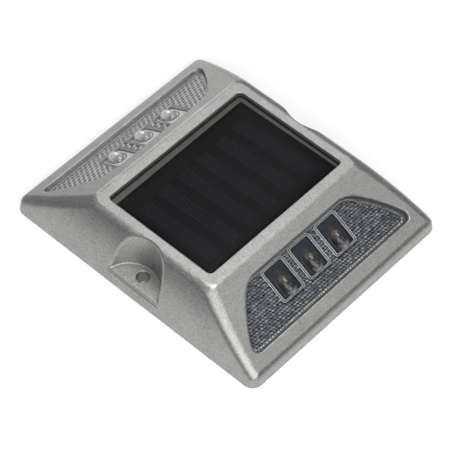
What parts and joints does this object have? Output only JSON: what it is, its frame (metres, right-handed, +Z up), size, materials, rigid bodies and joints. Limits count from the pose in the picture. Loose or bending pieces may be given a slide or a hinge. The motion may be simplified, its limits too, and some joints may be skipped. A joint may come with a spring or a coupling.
{
  "type": "solar raised pavement marker",
  "caption": "Low four-sided cast road marker with a solar panel in its flat top, a prism lens with LEDs in each sloped end, and a screw pocket in each long side.",
  "frame": {"origin": "centre of the underside, in the plane that rests on the road", "axes": "+X from the middle towards the front lens end, +Y across to the long side on the left of that direction, +Z up out of the road"},
  "size_m": [0.125, 0.105, 0.023],
  "materials": {
    "housing": "die-cast, satin",
    "solar_cover": "clear, smooth",
    "solar_cells": "dark blue-black silicon behind resin",
    "solar_backsheet": "black",
    "solar_substrate": "grey-brown laminate",
    "panel_seal": "black sealant",
    "front_lens": "clear moulded acrylic",
    "rear_lens": "clear moulded acrylic",
    "front_reflector": "dark grey-blue prisms",
    "rear_reflector": "silver prisms",
    "front_lens_seal": "dark sealant",
    "rear_lens_seal": "dark sealant",
    "front_leds": "amber-tinted clear epoxy",
    "rear_leds": "clear epoxy",
    "front_led_tray": "dark blue moulded",
    "rear_led_tray": "silver moulded",
    "front_led_board": "dark blue solder mask",
    "rear_led_board": "white solder mask",
    "main_board": "green solder mask",
    "controller_chip": "black epoxy",
    "charge_inductor": "ferrite",
    "storage_capacitor": "sleeved can",
    "board_screws": "zinc plated",
    "battery_cell": "shrink sleeve",
    "battery_caps": "nickel plated",
    "battery_cradle": "moulded",
    "solar_leads": "insulated wire",
    "front_led_leads": "insulated wire",
    "rear_led_leads": "insulated wire",
    "battery_leads": "insulated wire",
    "base_plate": "grey moulded plastic",
    "base_gasket": "black",
    "base_screws": "stainless",
    "switch_body": "moulded",
    "switch_spring": "bright spring wire",
    "switch_contact": "gold flashed",
    "switch_seal": "black",
    "switch_button": "red moulded"
  },
  "bodies": {
    "marker": {"housing": "housing", "solar_cover": "solar_cover", "solar_cells": "solar_cells", "solar_backsheet": "solar_backsheet", "solar_substrate": "solar_substrate", "panel_seal": "panel_seal", "front_lens": "front_lens", "rear_lens": "rear_lens", "front_reflector": "front_reflector", "rear_reflector": "rear_reflector", "front_lens_seal": "front_lens_seal", "rear_lens_seal": "rear_lens_seal", "front_leds": "front_leds", "rear_leds": "rear_leds", "front_led_tray": "front_led_tray", "rear_led_tray": "rear_led_tray", "front_led_board": "front_led_board", "rear_led_board": "rear_led_board", "main_board": "main_board", "controller_chip": "controller_chip", "charge_inductor": "charge_inductor", "storage_capacitor": "storage_capacitor", "board_screws": "board_screws", "battery_cell": "battery_cell", "battery_caps": "battery_caps", "battery_cradle": "battery_cradle", "solar_leads": "solar_leads", "front_led_leads": "front_led_leads", "rear_led_leads": "rear_led_leads", "battery_leads": "battery_leads", "base_plate": "base_plate", "base_gasket": "base_gasket", "base_screws": "base_screws", "switch_body": "switch_body", "switch_spring": "switch_spring", "switch_contact": "switch_contact", "switch_seal": "switch_seal"},
    "button": {"switch_button": "switch_button"}
  },
  "joints": [
    {"name": "button_press", "type": "slide", "parent": "marker", "child": "button", "axis": [0, 0, 1], "range_m": [0, 0.0012], "stiffness_N_per_m": 400, "springref_m": -0.0005, "deforming": ["switch_spring"]}
  ]
}
